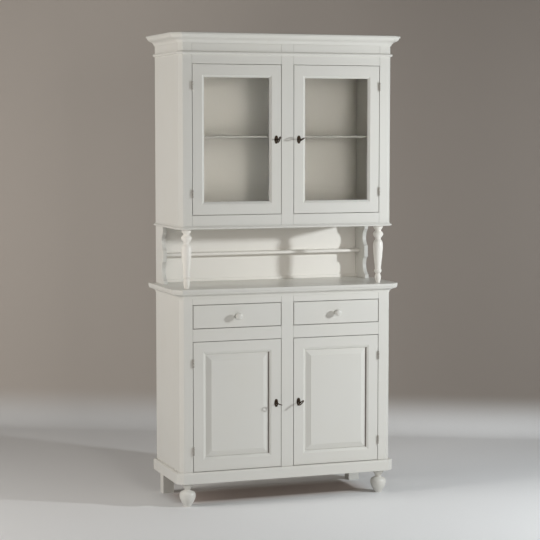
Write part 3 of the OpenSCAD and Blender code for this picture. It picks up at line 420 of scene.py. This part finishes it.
def applied(mesh, kind, **settings):
    """The mesh with one modifier applied."""
    holder = bpy.data.objects.new("holder", mesh)
    bpy.context.scene.collection.objects.link(holder)
    modifier = holder.modifiers.new(kind.lower(), kind)
    for key, value in settings.items():
        setattr(modifier, key, value)
    evaluated = holder.evaluated_get(bpy.context.evaluated_depsgraph_get())
    done = bpy.data.meshes.new_from_object(evaluated)
    bpy.data.objects.remove(holder)
    return done


def eased(mesh, width):
    """The mesh with its edges rounded and its flats shaded flat."""
    mesh = applied(mesh, "BEVEL", width=width, segments=ROUNDING_STEPS, limit_method="ANGLE",
                   angle_limit=ROUNDED_FROM, miter_outer="MITER_ARC", use_clamp_overlap=True)
    mesh.shade_smooth()
    shape = bmesh.new()
    shape.from_mesh(mesh)
    for edge in shape.edges:
        edge.smooth = len(edge.link_faces) == 2 and edge.calc_face_angle(0.0) < SMOOTH_UP_TO
    shape.to_mesh(mesh)
    shape.free()
    return applied(mesh, "WEIGHTED_NORMAL", keep_sharp=True, weight=WEIGHT_OF_LARGE_FACES)


def search_tree(name):
    """A search tree over a CAD node, to find the faces that look at it across a gap."""
    cad = NODES[name].data
    spots = [tuple(vertex.co) for vertex in cad.vertices]
    return BVHTree.FromPolygons(spots, [tuple(face.vertices) for face in cad.polygons])


TREES = {name: search_tree(name) for name in FRONT}


def paint_gap_shade(mesh, source):
    """Stores at every face corner how much painted shade it gets: most on a door frame's wall at
    the right of its raised panel, less where the face looks into a narrow gap, not at all
    elsewhere."""
    marks = mesh.attributes.new("painted_gap_shade", "FLOAT", "CORNER")
    shade_amount = MOVING_GAP_SHADE if "door" in source or "drawer" in source else GAP_SHADE
    others = [tree for name, tree in TREES.items() if name != source]
    panel_edge = sight_line(source) if "base_door_frame" in source else None
    for face in mesh.polygons:
        beside_panel = (panel_edge is not None and face.normal.x < LOOKS_LEFT
                        and abs(face.center.x - panel_edge) < PANEL_GAP_REACH)
        for corner in face.loop_indices:
            spot = mesh.vertices[mesh.loops[corner].vertex_index].co
            start = spot + (face.center - spot) * RAY_INSET + face.normal * RAY_LIFT
            hits = (tree.ray_cast(start, face.normal, GAP_REACH)[0] for tree in others)
            if beside_panel:
                marks.data[corner].value = PANEL_GAP_SHADE
            elif any(hit is not None for hit in hits):
                marks.data[corner].value = shade_amount


def soften(source, width):
    """Stands for a CAD node with the same shape, its edges rounded by hand sanding."""
    mesh = eased(merged(source), width)
    # Raised panels get no painted shade: on their own edges it would draw a dark line round them
    if source in TREES and "panel" not in source:
        paint_gap_shade(mesh, source)
    # The niche's pieces take the lighter lacquer with painted light
    finish = PAINTED_LIGHT_COAT if source in PAINTED_LIGHT_PIECES else FINISHES[SLOTS[source]]
    place(source + "_eased", mesh, finish, SLOTS[source], BODY_OF[source], source)


for rounding, names in EASED.items():
    for name in names:
        soften(name, rounding)

for name, cad in NODES.items():
    cad.data.materials.clear()
    cad.data.materials.append(FINISHES[SLOTS[name]])


# Floor, backdrop, camera and lights

# Painted light and shade: the floor gets lighter and the wall darker towards the right, as the
# lamps fall
FLOOR_LEFT = (0.745, 0.745, 0.745)
FLOOR_RIGHT = (0.87, 0.88, 0.89)
WALL_LEFT = (0.50, 0.45, 0.405)
WALL_RIGHT = (0.25, 0.22, 0.195)
# The tones change over this far to either side, and from floor to wall up to this height
TONES_ASIDE = 1.2
TONES_UP = 0.2
PAPER_ROUGHNESS = 0.75
WALL_FOOT = (0.56, 1.63, 0.0)
WALL_TURN = math.radians(-27)
WALL_HEIGHT = 8.0
COVE_RADIUS = 0.25
COVE_STEPS = 16
BACKDROP_REACH = 30.0
# Painted brown shadow on the floor under the cabinet: its colour, strength, soft border and limits
SHADE = (0.27, 0.185, 0.15)
SHADE_STRENGTH = 0.75
SHADE_BORDER = 0.12
SHADE_LIMITS = (("X", -0.50, 0.47), ("Y", -0.15, 0.22))


def paper(turn):
    """Floor and wall tones that change from left to right as painted light and shade, with a
    painted shadow under the cabinet. Seen from behind, the paper is clear."""
    material = bpy.data.materials.new("studio_paper")
    material.use_nodes = True
    tree = material.node_tree
    shader = tree.nodes["Principled BSDF"]
    shader.inputs["Roughness"].default_value = PAPER_ROUGHNESS
    where = node(tree, "ShaderNodeTexCoord")
    turned = node(tree, "ShaderNodeMapping", vector_type="TEXTURE")
    turned.inputs["Location"].default_value = turn.to_translation()
    turned.inputs["Rotation"].default_value = turn.to_euler()
    tree.links.new(where.outputs["Object"], turned.inputs["Vector"])
    along = node(tree, "ShaderNodeSeparateXYZ")
    tree.links.new(turned.outputs["Vector"], along.inputs["Vector"])
    here = node(tree, "ShaderNodeSeparateXYZ")
    tree.links.new(where.outputs["Object"], here.inputs["Vector"])

    aside = spread(tree, along.outputs["X"], -TONES_ASIDE, TONES_ASIDE)
    fibres = noise(tree, where.outputs["Object"], scale=90.0, detail=4.0, roughness=0.6)
    # Painted light: the floor lighter towards the right
    floor = mix_colour(tree, aside, FLOOR_LEFT, FLOOR_RIGHT)
    floor = mix_colour(tree, spread(tree, fibres, 0.3, 0.7, to_high=0.15), floor, FLOOR_LEFT)
    shaded = SHADE_STRENGTH
    for axis, low, high in SHADE_LIMITS:
        spot = here.outputs[axis]
        after_low = spread(tree, spot, low, low + SHADE_BORDER)
        before_high = spread(tree, spot, high - SHADE_BORDER, high, to_low=1.0, to_high=0.0)
        shaded = sums(tree, "MULTIPLY", shaded, sums(tree, "MULTIPLY", after_low, before_high))
    # Painted shadow under the cabinet
    floor = mix_colour(tree, shaded, floor, SHADE)
    # Painted shade: the wall darker towards the right
    wall = mix_colour(tree, aside, WALL_LEFT, WALL_RIGHT)
    rise = spread(tree, along.outputs["Z"], 0.0, TONES_UP)
    feed(tree, shader.inputs["Base Color"], mix_colour(tree, rise, floor, wall))

    side = node(tree, "ShaderNodeNewGeometry")
    clear = node(tree, "ShaderNodeBsdfTransparent")
    whole = mix_shader(
        tree, side.outputs["Backfacing"], shader.outputs["BSDF"], clear.outputs["BSDF"])
    tree.links.new(whole, tree.nodes["Material Output"].inputs["Surface"])
    return material


def backdrop():
    """Pale floor that curves up into a grey-brown wall, turned towards the camera."""
    turn = Matrix.Translation(WALL_FOOT) @ Matrix.Rotation(WALL_TURN, 4, "Z")
    profile = [(-BACKDROP_REACH, 0.0), (-COVE_RADIUS, 0.0)]
    for step in range(1, COVE_STEPS + 1):
        angle = math.radians(90 * step / COVE_STEPS)
        profile.append((COVE_RADIUS * (math.sin(angle) - 1), COVE_RADIUS * (1 - math.cos(angle))))
    profile.append((0.0, WALL_HEIGHT))
    shape = bmesh.new()
    rows = [[shape.verts.new(turn @ Vector((x, y, z))) for y, z in profile]
            for x in (-BACKDROP_REACH, BACKDROP_REACH)]
    for i in range(len(profile) - 1):
        shape.faces.new((rows[0][i], rows[1][i], rows[1][i + 1], rows[0][i + 1]))
    mesh = bpy.data.meshes.new("backdrop")
    shape.to_mesh(mesh)
    shape.free()
    mesh.shade_smooth()
    mesh.materials.append(paper(turn))
    sweep = bpy.data.objects.new("backdrop", mesh)
    bpy.context.scene.collection.objects.link(sweep)


# Position, target, width, height, power and colour of each lamp
LAMPS = {
    "key_light": ((2.09, -1.75, 1.50), (0.0, 0.0, 1.0), 0.12, 0.12, 44.0, (0.93, 0.975, 1.0)),
    "front_light": ((-0.3, -4.5, 1.6), (0.0, 0.0, 0.9), 0.8, 1.6, 44.0, (1.0, 0.965, 0.925)),
    "side_light": ((-3.2, -0.2, 1.7), (-0.48, 0.0, 1.0), 1.0, 1.8, 58.0, (1.0, 0.97, 0.93)),
    "low_light": ((0.8, -3.2, 0.75), (0.15, 0.0, 0.25), 2.4, 0.4, 2.0, (1.0, 1.0, 1.0)),
    "top_light": ((0.9, -0.5, 4.3), (0.9, -0.4, 0.0), 2.4, 1.4, 6.0, (1.0, 1.0, 1.0)),
}
# These would show as white patches in the panes and on the worktop from other viewpoints
NOT_MIRRORED = ("front_light", "side_light")


def lamps():
    """Area lamps of the studio, which the camera doesn't see."""
    for name, (stand, target, width, height, power, colour) in LAMPS.items():
        light = bpy.data.lights.new(name, "AREA")
        light.shape = "RECTANGLE"
        light.size = width
        light.size_y = height
        light.energy = power
        light.color = colour
        made = bpy.data.objects.new(name, light)
        made.location = stand
        made.rotation_euler = (Vector(target) - Vector(stand)).to_track_quat("-Z", "Y").to_euler()
        made.visible_camera = False
        made.visible_glossy = name not in NOT_MIRRORED
        bpy.context.scene.collection.objects.link(made)


FILL_STRENGTH = 0.02
FILL_COLOUR = (1.0, 0.99, 0.975)
# Shows past the backdrop's ends
SURROUNDINGS = (0.34, 0.325, 0.3)


def surroundings():
    """Faint even light from all sides, and a plain grey for what is seen of them."""
    world = bpy.data.worlds.new("studio")
    world.use_nodes = True
    tree = world.node_tree
    light = tree.nodes["Background"]
    feed(tree, light.inputs["Color"], FILL_COLOUR)
    light.inputs["Strength"].default_value = FILL_STRENGTH
    shown = node(tree, "ShaderNodeBackground")
    feed(tree, shown.inputs["Color"], SURROUNDINGS)
    path = node(tree, "ShaderNodeLightPath")
    looks = sums(tree, "MAXIMUM", path.outputs["Is Camera Ray"], path.outputs["Is Glossy Ray"])
    looks = sums(tree, "MAXIMUM", looks, path.outputs["Is Transmission Ray"])
    whole = mix_shader(tree, looks, light.outputs["Background"], shown.outputs["Background"])
    tree.links.new(whole, tree.nodes["World Output"].inputs["Surface"])
    bpy.context.scene.world = world


# Fitted to about 60 points of the photograph
CAMERA_AT = (-2.5576, -7.0965, 1.6045)
CAMERA_YAW = math.radians(19.66)
CAMERA_PITCH = math.radians(4.68)
FOCAL_PIXELS = 1734.2
PHOTO_PIXELS = 540.0
SENSOR_WIDTH = 36.0
FAR_LIMIT = 120.0


def camera():
    """Stands at the photograph's viewpoint: left of the cabinet, above its middle."""
    data = bpy.data.cameras.new("camera")
    data.sensor_width = SENSOR_WIDTH
    data.lens = FOCAL_PIXELS / PHOTO_PIXELS * SENSOR_WIDTH
    data.clip_end = FAR_LIMIT
    made = bpy.data.objects.new("camera", data)
    made.location = CAMERA_AT
    look = Vector((math.sin(CAMERA_YAW) * math.cos(CAMERA_PITCH),
                   math.cos(CAMERA_YAW) * math.cos(CAMERA_PITCH), -math.sin(CAMERA_PITCH)))
    made.rotation_euler = look.to_track_quat("-Z", "Y").to_euler()
    bpy.context.scene.collection.objects.link(made)
    bpy.context.scene.camera = made


backdrop()
camera()
lamps()
surroundings()
bpy.context.scene.view_settings.view_transform = "Standard"
